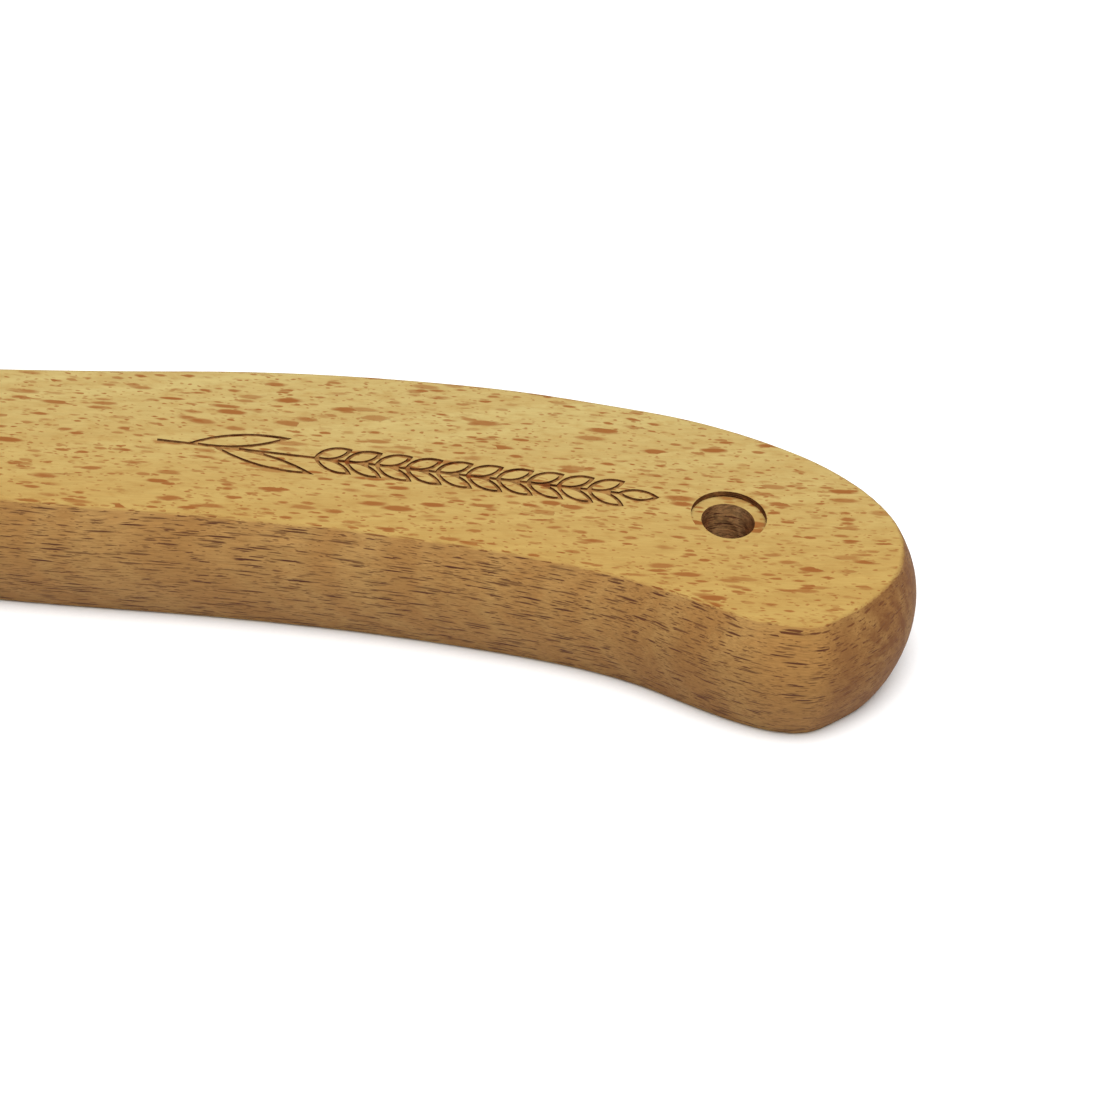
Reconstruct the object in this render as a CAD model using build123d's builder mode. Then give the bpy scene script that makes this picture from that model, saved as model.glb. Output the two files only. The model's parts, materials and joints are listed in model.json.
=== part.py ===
from build123d import *
import os
from math import cos, degrees, sin, sqrt

# A bread lame: a slab-shaped beech handle with a steel half tang in its nose, and a narrow steel
# stick ahead of it that a double-edge razor blade is threaded on. It lies flat, as on a table.
# +X runs along the grain from the blade to the butt, +Y from the belly of the handle to its
# spine, +Z up. The origin is the centre of the object's footprint, on the face it lies on.

# ---- driving dimensions, millimetres ----
OVERALL_LENGTH = 183.3  # tip of the stick to the end of the butt
HANDLE_LENGTH = 126.6
THICKNESS = 13.5
SIDE_BULGE = 1.6
BUTT_BULGE = 2.05
HEEL_EASING = 1.2  # how much further in the upper face ends at the heel
EDGE_RADIUS = 0.6

HANG_HOLE_RADIUS = 2.75
HANG_HOLE_AT = (71.8, -0.3)
HANG_RECESS_RADIUS = 3.9
HANG_RECESS_DEPTH = 0.7

STICK_WIDTH = 3.0
STICK_THICKNESS = 1.3
STICK_ROOT_RADIUS = 1.5
STEEL_EDGE_RADIUS = 0.2
TANG_LENGTH = 28.0
TANG_INSET = 0.2  # how far the tang's edge lies inside the handle's side
KERF_CLEARANCE = 0.02

RIVET_HEAD_RADIUS = 3.0
RIVET_HEAD_THICKNESS = 0.9
RIVET_TUBE_RADIUS = 1.8
RIVET_STEM_RADIUS = 1.2
RIVET_CLEARANCE = 0.03
RIVET_END_GAP = 0.8  # left at the end of each tube and stem
RIVET_SETBACK = (8.0, 21.5)  # each rivet's distance behind the end of the nose

BLADE_LENGTH = 43.0  # measured along the flat blade
BLADE_WIDTH = 22.0
BLADE_THICKNESS = 0.1
BLADE_EDGE_THICKNESS = 0.02
BLADE_BEVEL = 0.9
BLADE_BEND_RADIUS = 64.8
BLADE_NOTCH = (2.8, 4.5)  # cut out of each corner, along and across the blade
BLADE_NOTCH_CORNER = 0.8
BLADE_SLOT_WIDTH = 2.5
BLADE_CENTRE_HOLE_RADIUS = 2.5
BLADE_PORT = (11.9, 18.4)  # where each wide end of the slot begins and stops
BLADE_PORT_WIDTH = 6.0
BLADE_PORT_CORNER = 1.3
BLADE_SETBACK = 8.0  # from the nose to the blade

# The engraving: an ear of wheat on a stalk with two leaves.
MARK_AT = (13.5, 5.4)  # the foot of the stalk
MARK_TURN = -4.0  # degrees
MARK_DEPTH = 0.25
MARK_LINE = 0.42
LEAVES = ((3.0, 1), (5.5, -1))  # each leaf's distance along the stalk, and its side of it
LEAF_LENGTH = 11.0
LEAF_WIDTH = 2.2
LEAF_TILT = 14.0
EAR_START = 16.0
GRAIN_PAIRS = 10
GRAIN_PITCH = 3.1
GRAIN_LENGTH = 4.4
GRAIN_WIDTH = 1.9
GRAIN_TILT = 27.0
TIP_OVERLAP = 0.25  # how far the stalk runs into the grain at the tip

# ---- derived places ----
BUTT_END = OVERALL_LENGTH / 2
STICK_TIP = -OVERALL_LENGTH / 2
NOSE_END = BUTT_END - HANDLE_LENGTH
STICK_Y = 4.0
STICK_SIDES = (STICK_Y - STICK_WIDTH / 2, STICK_Y + STICK_WIDTH / 2)
MID_Z = THICKNESS / 2
TANG_END = NOSE_END + TANG_LENGTH
RIVETS_AT = [(NOSE_END + setback, STICK_Y) for setback in RIVET_SETBACK]
EAR_END = EAR_START + GRAIN_PAIRS * GRAIN_PITCH

# The handle's outline: x and y on the lower face, the direction in degrees that the side faces
# there, how far the side stands out at mid height, and how much further in the upper face ends.
STATIONS = [
    (NOSE_END + SIDE_BULGE, STICK_Y, 180, SIDE_BULGE, 0),
    (-23.0, 12.5, 102, SIDE_BULGE, 0),
    (-1.6, 15.1, 94.5, SIDE_BULGE, 0),
    (35.8, 17.9, 90, SIDE_BULGE, 0),
    (55.6, 16.8, 82, SIDE_BULGE, 0),
    (72.0, 13.55, 71, SIDE_BULGE, 0),
    (85.5, 5.7, 44, SIDE_BULGE, 0),
    (BUTT_END - BUTT_BULGE, -3.2, 0, BUTT_BULGE, 0),
    (85.1, -14.4, -47, SIDE_BULGE, HEEL_EASING),
    (79.0, -17.9, -90, SIDE_BULGE, HEEL_EASING),
    (71.6, -15.9, -115, SIDE_BULGE, HEEL_EASING / 2),
    (61.0, -11.0, -108, SIDE_BULGE, 0),
    (49.8, -8.5, -99, SIDE_BULGE, 0),
    (11.8, -5.8, -90, SIDE_BULGE, 0),
    (-24.0, -3.8, -98, SIDE_BULGE, 0),
]


def outline(swell, ease=0):
    """The handle's closed outline: the lower face's at swell 0 and the widest one at 1, and the
    upper face's at swell 0 and ease 1."""
    courses = [Vector(0, -1).rotate(Axis.Z, facing) for x, y, facing, bulge, easing in STATIONS]
    places = [
        Vector(x, y) + Vector(swell * bulge - ease * easing, 0).rotate(Axis.Z, facing)
        for x, y, facing, bulge, easing in STATIONS
    ]
    for start, end, leaving, arriving in zip(
        places, places[1:] + places[:1], courses, courses[1:] + courses[:1]
    ):
        # Two arcs that meet midway on a common tangent join each station to the next.
        chord = end - start
        bend = 2 * (1 - leaving.dot(arriving))
        along = chord.dot(leaving + arriving)
        reach = (sqrt(along**2 + bend * chord.dot(chord)) - along) / bend
        midway = (start + leaving * reach + end - arriving * reach) / 2
        TangentArc(start, midway, tangent=leaving)
        TangentArc(end, midway, tangent=-arriving)


def along_bend(distance):
    """How far along X a distance measured along the bent blade reaches."""
    return BLADE_BEND_RADIUS * sin(distance / BLADE_BEND_RADIUS)


def fall_of_bend(distance):
    """How far below its bending axis the blade is, a distance along it from its middle."""
    return BLADE_BEND_RADIUS * cos(distance / BLADE_BEND_RADIUS)


BLADE_HALF = along_bend(BLADE_LENGTH / 2)
BLADE_AT = (NOSE_END - BLADE_SETBACK - BLADE_HALF, STICK_Y)
PORT_START, PORT_END = along_bend(BLADE_PORT[0]), along_bend(BLADE_PORT[1])
# The stick runs over the blade's middle and under both its ends, with the same gap at each.
BEND_AXIS_Z = MID_Z + (fall_of_bend(BLADE_PORT[0]) + fall_of_bend(BLADE_PORT[1])) / 2


def beside_stalk(distance, side, tilt):
    """Where a leaf or grain leaves a side of the engraved stalk, a distance along it."""
    stalk = Location((*MARK_AT, 0), (0, 0, MARK_TURN))
    return stalk * Location((distance, 0, 0), (0, 0, side * tilt))


def outlined_leaf(length, width):
    """A pointed leaf drawn as a line, from the current location along its X."""
    with BuildSketch(mode=Mode.PRIVATE) as leaf:
        with BuildLine():
            ThreePointArc((0, 0), (length / 2, width / 2), (length, 0))
            ThreePointArc((length, 0), (length / 2, -width / 2), (0, 0))
        make_face()
        offset(amount=-MARK_LINE, mode=Mode.SUBTRACT)
    add(leaf.sketch)


os.makedirs("parts", exist_ok=True)

# ---- handle ----
with BuildPart() as handle:
    for height, swell, ease in ((0, 0, 0), (MID_Z, 1, 0), (THICKNESS, 0, 1)):
        with BuildSketch(Plane.XY.offset(height)):
            with BuildLine():
                outline(swell, ease)
            make_face()
    loft()
    fillet(handle.faces().filter_by(GeomType.PLANE).edges(), EDGE_RADIUS)

    # The saw kerf that the tang sits in, cut from well ahead of the nose.
    with BuildSketch(Plane.XY.offset(MID_Z)):
        with Locations((NOSE_END, STICK_Y)):
            Rectangle(2 * TANG_LENGTH, 2 * BLADE_WIDTH)
    extrude(amount=STICK_THICKNESS / 2 + KERF_CLEARANCE, both=True, mode=Mode.SUBTRACT)

    # The hanging hole and the rivets' holes, each with a round recess at both mouths.
    with BuildSketch():
        with Locations(HANG_HOLE_AT):
            Circle(HANG_HOLE_RADIUS)
        with Locations(RIVETS_AT):
            Circle(RIVET_TUBE_RADIUS + RIVET_CLEARANCE)
    extrude(amount=THICKNESS, mode=Mode.SUBTRACT)
    for bottom in (0, THICKNESS - HANG_RECESS_DEPTH):
        with BuildSketch(Plane.XY.offset(bottom)):
            with Locations(HANG_HOLE_AT):
                Circle(HANG_RECESS_RADIUS)
        extrude(amount=HANG_RECESS_DEPTH, mode=Mode.SUBTRACT)
    for bottom in (0, THICKNESS - RIVET_HEAD_THICKNESS):
        with BuildSketch(Plane.XY.offset(bottom)):
            with Locations(RIVETS_AT):
                Circle(RIVET_HEAD_RADIUS + RIVET_CLEARANCE)
        extrude(amount=RIVET_HEAD_THICKNESS, mode=Mode.SUBTRACT)

    # The engraving.
    with BuildSketch(Plane.XY.offset(THICKNESS)):
        with Locations(beside_stalk(0, 1, 0)):
            Rectangle(EAR_END + TIP_OVERLAP, MARK_LINE, align=(Align.MIN, Align.CENTER))
        for distance, side in LEAVES:
            with Locations(beside_stalk(distance, side, LEAF_TILT)):
                outlined_leaf(LEAF_LENGTH, LEAF_WIDTH)
        for pair in range(GRAIN_PAIRS):
            for side in (1, -1):
                with Locations(beside_stalk(EAR_START + pair * GRAIN_PITCH, side, GRAIN_TILT)):
                    outlined_leaf(GRAIN_LENGTH, GRAIN_WIDTH)
        with Locations(beside_stalk(EAR_END, 1, 0)):
            outlined_leaf(GRAIN_LENGTH, GRAIN_WIDTH)
    extrude(amount=-MARK_DEPTH, mode=Mode.SUBTRACT)
handle.part.label = "handle"
export_step(handle.part, "parts/handle.step")
print("handle", handle.part.bounding_box(), "volume", handle.part.volume)

# ---- blade holder: the half tang and the stick, cut from one sheet ----
with BuildPart() as blade_holder:
    with BuildSketch(Plane.XY.offset(MID_Z - STICK_THICKNESS / 2)) as sheet:
        with BuildLine():
            outline(1)
        make_face()
        offset(amount=-TANG_INSET, mode=Mode.REPLACE)
        with Locations((TANG_END, STICK_Y)):
            Rectangle(
                HANDLE_LENGTH,
                2 * BLADE_WIDTH,
                align=(Align.MAX, Align.CENTER),
                mode=Mode.INTERSECT,
            )
        with Locations((STICK_TIP + STICK_WIDTH / 2, STICK_Y)):
            Rectangle(NOSE_END - STICK_TIP, STICK_WIDTH, align=(Align.MIN, Align.CENTER))
            Circle(STICK_WIDTH / 2)
        roots = sheet.vertices().filter_by_position(Axis.X, NOSE_END, NOSE_END + STICK_WIDTH)
        fillet(roots.filter_by_position(Axis.Y, *STICK_SIDES), STICK_ROOT_RADIUS)
        with Locations(RIVETS_AT):
            Circle(RIVET_TUBE_RADIUS + RIVET_CLEARANCE, mode=Mode.SUBTRACT)
    extrude(amount=STICK_THICKNESS)
    rims = [face.outer_wire().edges() for face in blade_holder.faces().filter_by(Axis.Z)]
    fillet(rims, STEEL_EDGE_RADIUS)
blade_holder.part.label = "blade_holder"
export_step(blade_holder.part, "parts/blade_holder.step")
print("blade_holder", blade_holder.part.bounding_box(), "volume", blade_holder.part.volume)

# ---- rivets: a headed tube from above and a headed stud from below, pressed together ----
for rivet, place in zip(("front_rivet", "rear_rivet"), RIVETS_AT):
    with BuildPart() as barrel:
        with BuildSketch(Plane.XY.offset(THICKNESS)):
            with Locations(place):
                Circle(RIVET_HEAD_RADIUS)
        extrude(amount=-RIVET_HEAD_THICKNESS)
        with BuildSketch(Plane.XY.offset(RIVET_HEAD_THICKNESS + RIVET_END_GAP)):
            with Locations(place):
                Circle(RIVET_TUBE_RADIUS)
                Circle(RIVET_STEM_RADIUS + RIVET_CLEARANCE, mode=Mode.SUBTRACT)
        extrude(until=Until.NEXT)
    barrel.part.label = rivet + "_barrel"
    export_step(barrel.part, "parts/" + rivet + "_barrel.step")

    with BuildPart() as stud:
        with BuildSketch():
            with Locations(place):
                Circle(RIVET_HEAD_RADIUS)
        extrude(amount=RIVET_HEAD_THICKNESS)
        with BuildSketch():
            with Locations(place):
                Circle(RIVET_STEM_RADIUS)
        extrude(amount=THICKNESS - RIVET_HEAD_THICKNESS - RIVET_END_GAP)
    stud.part.label = rivet + "_stud"
    export_step(stud.part, "parts/" + rivet + "_stud.step")
    print(rivet, barrel.part.bounding_box(), stud.part.bounding_box())

# ---- razor blade: bent along its length, so that the stick holds it ----
with BuildPart() as razor_blade:
    middle = Vector(*BLADE_AT, BEND_AXIS_Z - BLADE_BEND_RADIUS)
    with BuildSketch(Plane(middle, x_dir=(0, 1, 0), z_dir=(1, 0, 0))):
        with BuildLine():
            Polyline(
                (0, BLADE_THICKNESS / 2),
                (BLADE_WIDTH / 2 - BLADE_BEVEL, BLADE_THICKNESS / 2),
                (BLADE_WIDTH / 2, BLADE_EDGE_THICKNESS / 2),
                (BLADE_WIDTH / 2, -BLADE_EDGE_THICKNESS / 2),
                (BLADE_WIDTH / 2 - BLADE_BEVEL, -BLADE_THICKNESS / 2),
                (0, -BLADE_THICKNESS / 2),
            )
            mirror(about=Plane.YZ)
        make_face()
    bend_axis = Axis((*BLADE_AT, BEND_AXIS_Z), (0, 1, 0))
    revolve(axis=bend_axis, revolution_arc=degrees(BLADE_LENGTH / 2 / BLADE_BEND_RADIUS))
    mirror(about=Plane.YZ.offset(BLADE_AT[0]))

    with BuildSketch(Plane.XY.offset(BEND_AXIS_Z - BLADE_BEND_RADIUS)):
        with Locations(BLADE_AT):
            Rectangle(PORT_START + PORT_END, BLADE_SLOT_WIDTH)
            Circle(BLADE_CENTRE_HOLE_RADIUS)
            with GridLocations(PORT_START + PORT_END, 0, 2, 1):
                RectangleRounded(PORT_END - PORT_START, BLADE_PORT_WIDTH, BLADE_PORT_CORNER)
            with GridLocations(2 * BLADE_HALF, BLADE_WIDTH, 2, 2):
                RectangleRounded(2 * BLADE_NOTCH[0], 2 * BLADE_NOTCH[1], BLADE_NOTCH_CORNER)
    extrude(amount=BLADE_WIDTH, both=True, mode=Mode.SUBTRACT)
razor_blade.part.label = "razor_blade"
export_step(razor_blade.part, "parts/razor_blade.step")
print("razor_blade", razor_blade.part.bounding_box(), "volume", razor_blade.part.volume)
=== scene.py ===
"""A bread lame on a white table, seen close up at the butt of its beech handle.

Everything is in metres, in the row frame: +X from the blade to the butt, +Y from the handle's
belly to its spine, +Z up. Textures are worked out in millimetres, as solid blocks of material.
"""
import json
from math import cos, radians, sin

import bpy
from mathutils import Matrix, Vector


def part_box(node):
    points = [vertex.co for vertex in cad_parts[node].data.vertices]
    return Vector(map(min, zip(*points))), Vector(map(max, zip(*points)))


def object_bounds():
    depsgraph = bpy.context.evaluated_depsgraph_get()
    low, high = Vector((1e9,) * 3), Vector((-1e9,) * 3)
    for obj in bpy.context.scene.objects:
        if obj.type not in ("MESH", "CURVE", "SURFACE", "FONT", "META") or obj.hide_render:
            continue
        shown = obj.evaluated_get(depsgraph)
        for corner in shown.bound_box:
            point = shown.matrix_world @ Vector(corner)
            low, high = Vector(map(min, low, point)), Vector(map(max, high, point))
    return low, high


MM = 0.001

# ---- camera: an almost parallel view of the butt over the belly, a little from the blade's side
VIEW_AZIMUTH = radians(-7.0)
VIEW_ELEVATION = radians(39.5)
VIEW_ROLL = radians(8.5)
VIEW_WIDTH = 111.4 * MM
LENS = 800.0
SENSOR = 36.0
CLIP_END = 20.0
AIM_FROM_HOLE = Vector((-18.5, -7.4, 6.75)) * MM

# ---- light, all of it white and soft
SKY_STRENGTH = 0.45
SOFTBOX_SIZE = 0.9
SOFTBOX_FROM_MIDDLE = Vector((0.05, -0.15, 0.8))
SOFTBOX_POWER = 10.0

FLOOR_SIZE = 6.0
TABLE_WHITE = 0.92

# ---- where the surfaces are that have a material of their own. The engraving is a band along
# its course, offset from a line through the hole's centre.
MARK_DEPTH = 0.25 * MM
MARK_COURSE = Vector((cos(radians(-4.0)), sin(radians(-4.0))))
MARK_OFFSET = 1.62 * MM
MARK_HALF_WIDTH = 4.0 * MM
MARK_START, MARK_END = -60.0 * MM, -4.5 * MM
BLADE_BEVEL = 0.9 * MM
HOLE_RADIUS = 2.75 * MM
HOLE_RECESS_RADIUS = 3.9 * MM
SLACK = 0.05 * MM

# ---- beech
STRAW_BEECH = (0.435, 0.335, 0.128, 1.0)
WARM_BEECH = (0.405, 0.261, 0.076, 1.0)
RUSSET_BEECH = (0.315, 0.170, 0.043, 1.0)
FLAT_RAY = (0.240, 0.084, 0.019, 1.0)
SIDE_RAY = (0.080, 0.028, 0.012, 1.0)
END_BEECH = (0.150, 0.056, 0.016, 1.0)
# Tints for the sides: the wood's redder hue across the rays, and painted shade, more of it low
# down, lifting towards the top of the sides
SIDE_HUE_AND_PAINTED_SHADE = (0.88, 0.76, 0.81, 1.0)
LOW_SIDE_HUE_AND_PAINTED_SHADE = (0.72, 0.60, 0.66, 1.0)
ACROSS_LAYERS = (0.22, -0.95, 0.2)  # the way across its growth layers
LAYER_THICKNESS = 2.2  # millimetres
PALER = (-12.0, 17.0)  # it gets paler between these places across the handle, in millimetres
SIDE_PAINTED_SHADE_HEIGHTS = (0.0, 12.0)  # and its sides between these heights
BEECH_ROUGHNESS = (0.75, 0.65)  # between its fibres and on them
BEECH_GLOSS = 0.15
BEECH_RELIEF = 0.03 * MM
# Its rays: millimetres along the grain, across the flat faces and through the thickness, least
# and most reach in parts of that, and least and most strength.
RAYS = (
    ((0.66, 0.32, 0.12), -0.15, 0.55, 0.10, 0.80),
    ((1.7, 0.52, 0.16), -0.45, 0.60, 0.40, 0.95),
    ((3.5, 0.90, 0.22), -0.80, 0.62, 0.60, 1.00),
)
CELL_TURNS = (0.6, 0.8, 0.5)  # radians; the rays' cells lie askew, so that they form no rows
LEAST_REACH = 0.001

# ---- metals
METAL_WEAR = 0.06  # how far the lines, and the smudges, shift the roughness
METAL_RELIEF = 0.004 * MM


class Shader:
    """A material's node tree, with a short way to add nodes. Inputs are values or outputs."""

    def __init__(self, name):
        self.material = bpy.data.materials.new(name)
        self.material.use_nodes = True
        self.tree = self.material.node_tree
        self.tree.nodes.clear()

    def node(self, kind, inputs=(), **settings):
        made = self.tree.nodes.new(kind)
        for key, value in settings.items():
            setattr(made, key, value)
        for socket, value in dict(inputs).items():
            if isinstance(value, bpy.types.NodeSocket):
                self.tree.links.new(value, made.inputs[socket])
            else:
                made.inputs[socket].default_value = value
        return made

    def math(self, operation, first, second=0.0):
        inputs = {0: first, 1: second}
        return self.node("ShaderNodeMath", inputs, operation=operation).outputs[0]

    def vector(self, operation, first, second):
        inputs = {0: first, 1: second}
        return self.node("ShaderNodeVectorMath", inputs, operation=operation).outputs[0]

    def part(self, vector, axis):
        return self.node("ShaderNodeSeparateXYZ", {0: vector}).outputs[axis]

    def place(self):
        """The point on the object, in millimetres in the row frame."""
        point = self.node("ShaderNodeTexCoord").outputs["Object"]
        return self.vector("MULTIPLY", point, (1 / MM,) * 3)

    def facing(self, axis):
        """How squarely the surface faces along an axis, either way, from 0 to 1."""
        normal = self.node("ShaderNodeTexCoord").outputs["Normal"]
        return self.math("ABSOLUTE", self.part(normal, axis))

    def noise(self, place, size, detail=3.0, roughness=0.5, output=0):
        """Noise whose features have a size, in millimetres, along each axis."""
        place = self.vector("DIVIDE", place, size)
        inputs = {"Vector": place, "Scale": 1.0, "Detail": detail, "Roughness": roughness}
        return self.node("ShaderNodeTexNoise", inputs).outputs[output]

    def shift(self, place, size, reach):
        """How far noise of a size moves each point, at most half of reach along each axis."""
        noise = self.noise(place, size, detail=2.0, output=1)
        return self.vector("MULTIPLY", self.vector("SUBTRACT", noise, (0.5,) * 3), reach)

    def layers(self, place, across, thickness):
        """Flat layers of uneven thickness, in millimetres, across a direction."""
        depth = self.node("ShaderNodeVectorMath", {0: place, 1: across}, operation="DOT_PRODUCT")
        inputs = {"W": depth.outputs[1], "Scale": 1 / thickness, "Detail": 2.0}
        return self.node("ShaderNodeTexNoise", inputs, noise_dimensions="1D").outputs[0]

    def ramp(self, value, low, high, to_low=0.0, to_high=1.0):
        """A smooth step of value, from to_low at low to to_high at high."""
        inputs = {0: value, 1: low, 2: high, 3: to_low, 4: to_high}
        kind = "ShaderNodeMapRange"
        return self.node(kind, inputs, interpolation_type="SMOOTHSTEP").outputs[0]

    def spots(self, place, size, smallest, largest):
        """Separate spots of a size in millimetres along each axis, with a random number for each.
        A spot reaches smallest to largest times its size; with a reach below 0 it isn't there."""
        place = self.vector("DIVIDE", place, size)
        turns = {"Vector": place, "Rotation": CELL_TURNS}
        turned = self.node("ShaderNodeVectorRotate", turns, rotation_type="EULER_XYZ")
        cells = self.node("ShaderNodeTexVoronoi", {"Vector": turned.outputs[0], "Scale": 1.0})
        chance = self.node("ShaderNodeSeparateColor", {0: cells.outputs["Color"]})
        reach = self.ramp(chance.outputs[0], 0.0, 1.0, smallest, largest)
        reach = self.math("MAXIMUM", reach, LEAST_REACH)
        soft = self.math("MULTIPLY", reach, 0.5)
        return self.ramp(cells.outputs["Distance"], reach, soft), chance.outputs[1]

    def mix(self, share, first, second, blend="MIX"):
        inputs = {0: share, 6: first, 7: second}
        settings = {"data_type": "RGBA", "blend_type": blend}
        return self.node("ShaderNodeMix", inputs, **settings).outputs[2]

    def surface(self, inputs, height=None, depth=0.0):
        """The principled surface. height is a texture, and depth its relief in metres."""
        if height is not None:
            bump = {"Height": height, "Strength": 1.0, "Distance": depth}
            inputs = {**inputs, "Normal": self.node("ShaderNodeBump", bump).outputs[0]}
        shader = self.node("ShaderNodeBsdfPrincipled", inputs)
        output = self.node("ShaderNodeOutputMaterial")
        self.tree.links.new(shader.outputs[0], output.inputs[0])
        return self.material


def grey(value):
    return (value, value, value, 1.0)


def beech_ground(wood, place, fibres, flat_face):
    """The wood between the rays: paler towards the spine, with mottling, layers and fibres."""
    base = wood.mix(wood.ramp(wood.part(place, 1), *PALER), WARM_BEECH, STRAW_BEECH)
    mottling = wood.noise(place, (2.0, 0.9, 0.9), detail=4.0, roughness=0.6)
    base = wood.mix(wood.ramp(mottling, 0.42, 0.78, 0.0, 0.5), base, RUSSET_BEECH)
    layers = wood.layers(place, ACROSS_LAYERS, LAYER_THICKNESS)
    faint = wood.ramp(layers, 0.35, 0.7, 0.30, 0.0)
    strong = wood.ramp(layers, 0.35, 0.7, 0.60, 0.0)
    base = wood.mix(wood.mix(flat_face, strong, faint), base, RUSSET_BEECH)
    fine = wood.ramp(fibres, 0.2, 0.8, 0.93, 1.05)
    coarse = wood.ramp(fibres, 0.2, 0.8, 0.80, 1.16)
    return wood.mix(1.0, base, wood.mix(flat_face, coarse, fine), "MULTIPLY")


def beech_rays(wood, place, flat_face, colour):
    """Rays: spindles on the flat faces, thin dashes on the sides and dots on the ends. Returns
    the colour with them, and where the largest are."""
    ray_colour = wood.mix(flat_face, SIDE_RAY, FLAT_RAY)
    for size, smallest, largest, faintest, strongest in RAYS:
        shape, chance = wood.spots(place, size, smallest, largest)
        share = wood.math("MULTIPLY", shape, wood.ramp(chance, 0.0, 1.0, faintest, strongest))
        colour = wood.mix(share, colour, ray_colour)
    return colour, shape


def beech(name, burn_stain_and_painted_light=None):
    """Steamed beech, one block of wood with its grain along X. Its last argument multiplies its
    colour: the burn's stain on burnt faces, painted light on the bore's wall.
    """
    wood = Shader(name)
    true_place = wood.place()
    ragged = wood.shift(true_place, (0.8, 0.3, 0.3), (0.9, 0.12, 0.05))
    drift = wood.shift(true_place, (28.0, 7.0, 7.0), (0.0, 2.4, 1.6))
    place = wood.vector("ADD", true_place, drift)
    flat_face = wood.ramp(wood.facing(2), 0.45, 0.9)
    end_face = wood.ramp(wood.facing(0), 0.2, 0.8)

    fibres = wood.noise(place, (2.8, 0.15, 0.15), detail=3.0, roughness=0.6)
    colour = beech_ground(wood, place, fibres, flat_face)
    colour, rays = beech_rays(wood, wood.vector("ADD", place, ragged), flat_face, colour)

    # The sides are cut across the rays and are redder; their colour also carries painted shade,
    # darker low down.
    side_hue_and_shade = wood.mix(wood.ramp(wood.part(place, 2), *SIDE_PAINTED_SHADE_HEIGHTS), LOW_SIDE_HUE_AND_PAINTED_SHADE, SIDE_HUE_AND_PAINTED_SHADE)
    side = wood.math("SUBTRACT", 1.0, flat_face)
    colour = wood.mix(side, colour, wood.mix(1.0, colour, side_hue_and_shade, "MULTIPLY"))
    # The ends drink more oil, in blotches.
    blotches = wood.noise(place, (2.5, 1.6, 1.6), detail=3.0, roughness=0.65)
    thirsty = wood.math("MULTIPLY", end_face, wood.ramp(blotches, 0.3, 0.7, 0.45, 1.0))
    colour = wood.mix(thirsty, colour, END_BEECH)
    # For the bore's wall this factor is painted light, lighter and bluer; for burnt faces it is
    # the burn's stain.
    if burn_stain_and_painted_light is not None:
        scorch = wood.ramp(wood.noise(place, (0.7, 0.5, 0.5)), 0.35, 0.65, 0.75, 1.35)
        colour = wood.mix(1.0, colour, (*burn_stain_and_painted_light, 1.0), "MULTIPLY")
        colour = wood.mix(1.0, colour, scorch, "MULTIPLY")

    relief = wood.math("SUBTRACT", wood.math("MULTIPLY", fibres, 0.6), rays)
    inputs = {
        "Base Color": colour,
        "Roughness": wood.ramp(fibres, 0.2, 0.8, *BEECH_ROUGHNESS),
        "Specular IOR Level": BEECH_GLOSS,
    }
    return wood.surface(inputs, relief, BEECH_RELIEF)


def brushed_metal(name, colour, roughness, line_size):
    """Metal ground along one direction: fine lines, faint smudges."""
    metal = Shader(name)
    place = metal.place()
    lines = metal.noise(place, line_size, detail=4.0, roughness=0.7)
    smudges = metal.noise(place, (6.0, 4.0, 4.0), detail=3.0)
    shade = metal.ramp(lines, 0.25, 0.75, 0.86, 1.06)
    base = metal.mix(1.0, (*colour, 1.0), shade, "MULTIPLY")
    ground = metal.ramp(lines, 0.2, 0.8, roughness - METAL_WEAR, roughness + METAL_WEAR)
    smudged = metal.ramp(smudges, 0.3, 0.7, -METAL_WEAR, METAL_WEAR)
    rough = metal.math("ADD", ground, smudged)
    inputs = {"Base Color": base, "Metallic": 1.0, "Roughness": rough}
    return metal.surface(inputs, lines, METAL_RELIEF)


def paper(name):
    """The white table: matt, with a faint tooth."""
    sheet = Shader(name)
    tooth = sheet.noise(sheet.place(), (0.4, 0.4, 0.4))
    shade = sheet.ramp(tooth, 0.3, 0.7, 0.985, 1.0)
    base = sheet.mix(1.0, grey(TABLE_WHITE), shade, "MULTIPLY")
    return sheet.surface({"Base Color": base, "Roughness": 0.9, "Specular IOR Level": 0.1})


def put_on(node, *materials):
    """Gives a CAD node these materials, the first one everywhere."""
    slots = node.data.materials
    slots.clear()
    for material in materials:
        slots.append(material)
    for polygon in node.data.polygons:
        polygon.material_index = 0


def colour_regions(node, hole, top):
    """Gives the handle's burnt faces and the wall of the hole's recess its second, dark material,
    and the bore's wall the third, which is lightened with painted light.
    """
    for polygon in node.data.polygons:
        centre = polygon.center
        from_hole = (centre.xy - hole.xy).length
        if from_hole < HOLE_RECESS_RADIUS + SLACK:
            if abs(polygon.normal.z) < 0.5:
                # the recess's wall takes the dark second material; the bore's wall the third,
                # with painted light
                polygon.material_index = 1 if from_hole > HOLE_RADIUS + SLACK else 2
        elif top - MARK_DEPTH - SLACK < centre.z < top - SLACK:
            along = (centre.xy - hole.xy).dot(MARK_COURSE)
            aside = (centre.xy - hole.xy).dot(MARK_COURSE.orthogonal()) - MARK_OFFSET
            if MARK_START < along < MARK_END and abs(aside) < MARK_HALF_WIDTH:
                polygon.material_index = 1


def ground_edges(node):
    """Gives the blade's two bevels its second material."""
    low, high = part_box(node.name)
    for polygon in node.data.polygons:
        inside = min(polygon.center.y - low.y, high.y - polygon.center.y)
        if inside < BLADE_BEVEL:
            polygon.material_index = 1


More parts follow.
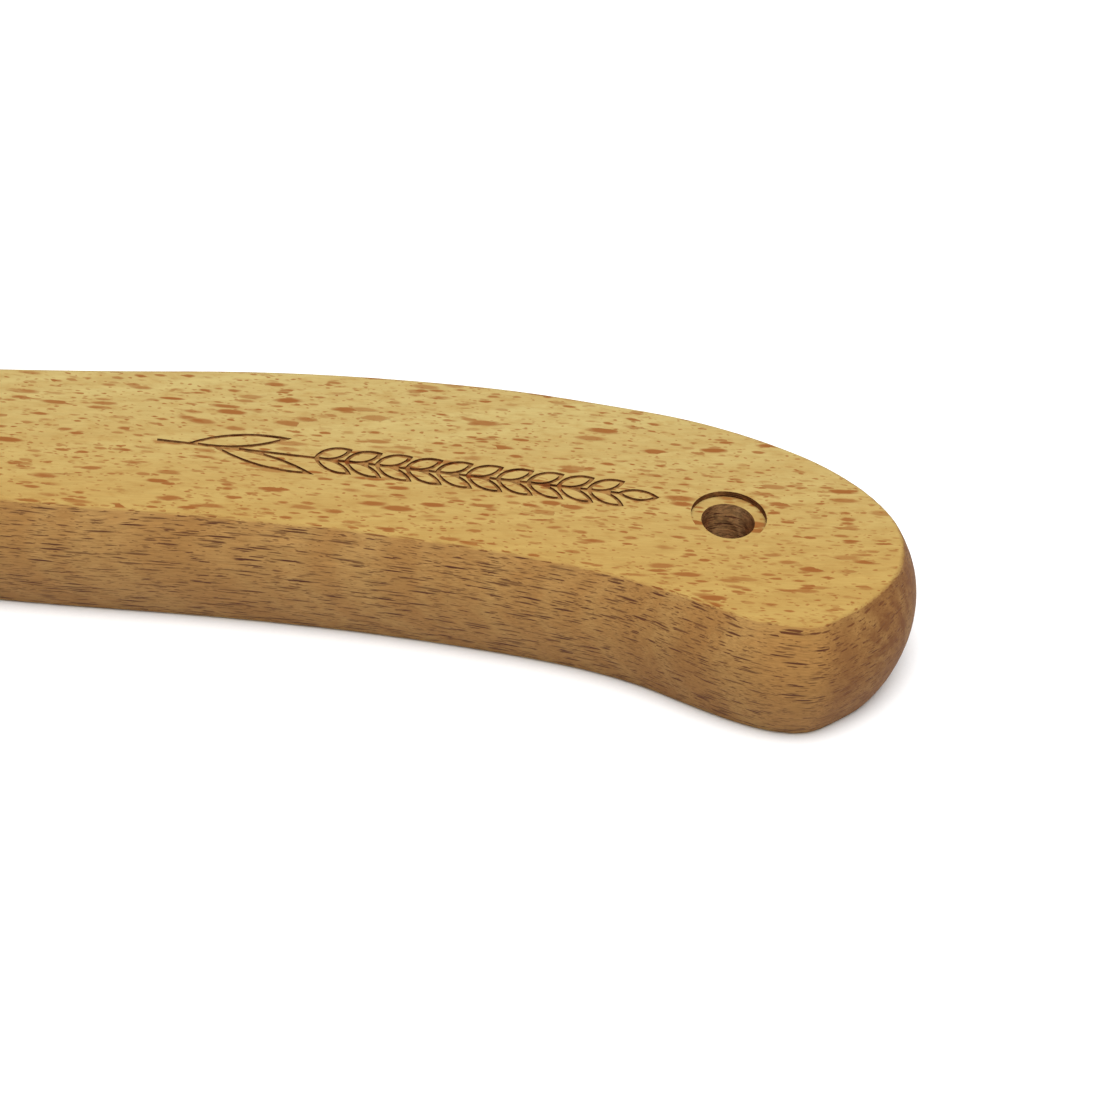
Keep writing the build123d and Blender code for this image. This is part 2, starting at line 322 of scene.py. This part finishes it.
def make_camera(hole):
    """A long lens, rolled a little, aimed between the hole and the middle of the grip."""
    camera = bpy.data.objects.new("camera", bpy.data.cameras.new("camera"))
    bpy.context.scene.collection.objects.link(camera)
    bpy.context.scene.camera = camera
    camera.data.lens = LENS
    camera.data.sensor_width = SENSOR
    camera.data.clip_end = CLIP_END
    back = Vector(
        (
            sin(VIEW_AZIMUTH) * cos(VIEW_ELEVATION),
            -cos(VIEW_AZIMUTH) * cos(VIEW_ELEVATION),
            sin(VIEW_ELEVATION),
        )
    )
    turn = (-back).to_track_quat("-Z", "Y").to_matrix().to_4x4()
    place = hole + AIM_FROM_HOLE + back * (VIEW_WIDTH * LENS / SENSOR)
    camera.matrix_world = Matrix.Translation(place) @ turn @ Matrix.Rotation(VIEW_ROLL, 4, "Z")


def make_light(centre):
    world = bpy.data.worlds.new("sky")
    bpy.context.scene.world = world
    world.use_nodes = True
    sky = world.node_tree.nodes["Background"]
    sky.inputs["Color"].default_value = grey(1.0)
    sky.inputs["Strength"].default_value = SKY_STRENGTH
    softbox = bpy.data.objects.new("softbox", bpy.data.lights.new("softbox", "AREA"))
    softbox.data.shape = "DISK"
    softbox.data.size = SOFTBOX_SIZE
    softbox.data.energy = SOFTBOX_POWER
    softbox.location = centre + SOFTBOX_FROM_MIDDLE
    softbox.rotation_euler = SOFTBOX_FROM_MIDDLE.to_track_quat("Z", "Y").to_euler()
    softbox.visible_camera = False
    softbox.visible_glossy = False
    bpy.context.scene.collection.objects.link(softbox)


def make_floor():
    half = FLOOR_SIZE / 2
    mesh = bpy.data.meshes.new("floor")
    corners = [(-half, -half, 0), (half, -half, 0), (half, half, 0), (-half, half, 0)]
    mesh.from_pydata(corners, [], [(0, 1, 2, 3)])
    floor = bpy.data.objects.new("floor", mesh)
    bpy.context.scene.collection.objects.link(floor)
    mesh.materials.append(paper("table_paper"))


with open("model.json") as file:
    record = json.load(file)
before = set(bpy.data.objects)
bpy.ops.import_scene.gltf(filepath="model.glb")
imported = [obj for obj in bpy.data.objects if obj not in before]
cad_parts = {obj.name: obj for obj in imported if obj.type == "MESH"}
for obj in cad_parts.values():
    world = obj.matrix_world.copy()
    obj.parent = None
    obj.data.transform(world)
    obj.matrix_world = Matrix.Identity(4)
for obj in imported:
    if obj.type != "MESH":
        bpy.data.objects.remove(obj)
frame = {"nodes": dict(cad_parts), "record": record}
cad_low, cad_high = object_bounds()
nodes = frame["nodes"]
mounts = {mount["name"]: mount for mount in frame["record"]["mounts"]}
hole = Vector(mounts["hanging_hole"]["pos_m"])
top_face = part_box("handle")[1].z

put_on(
    nodes["handle"],
    beech("beech"),
    beech("burnt_beech", (0.58, 0.43, 0.40)),
    # the bore's wall: lighter and bluer, painted light inside the hole
    beech("bore_beech_painted_light", (1.30, 1.30, 1.60)),
)
colour_regions(nodes["handle"], hole, top_face)
put_on(
    nodes["blade_holder"],
    brushed_metal("brushed_stainless", (0.76, 0.75, 0.73), 0.32, (9.0, 0.12, 0.12)),
)
brass = brushed_metal("ground_brass", (1.00, 0.75, 0.34), 0.34, (3.0, 0.1, 0.1))
for name in ("front_rivet_barrel", "front_rivet_stud", "rear_rivet_barrel", "rear_rivet_stud"):
    put_on(nodes[name], brass)
put_on(
    nodes["razor_blade"],
    brushed_metal("blade_steel", (0.78, 0.79, 0.81), 0.24, (5.0, 0.10, 5.0)),
    brushed_metal("ground_edge", (0.90, 0.91, 0.92), 0.30, (0.06, 4.0, 4.0)),
)
ground_edges(nodes["razor_blade"])

make_camera(hole)
make_light((cad_low + cad_high) / 2)
make_floor()
bpy.context.scene.view_settings.view_transform = "Standard"
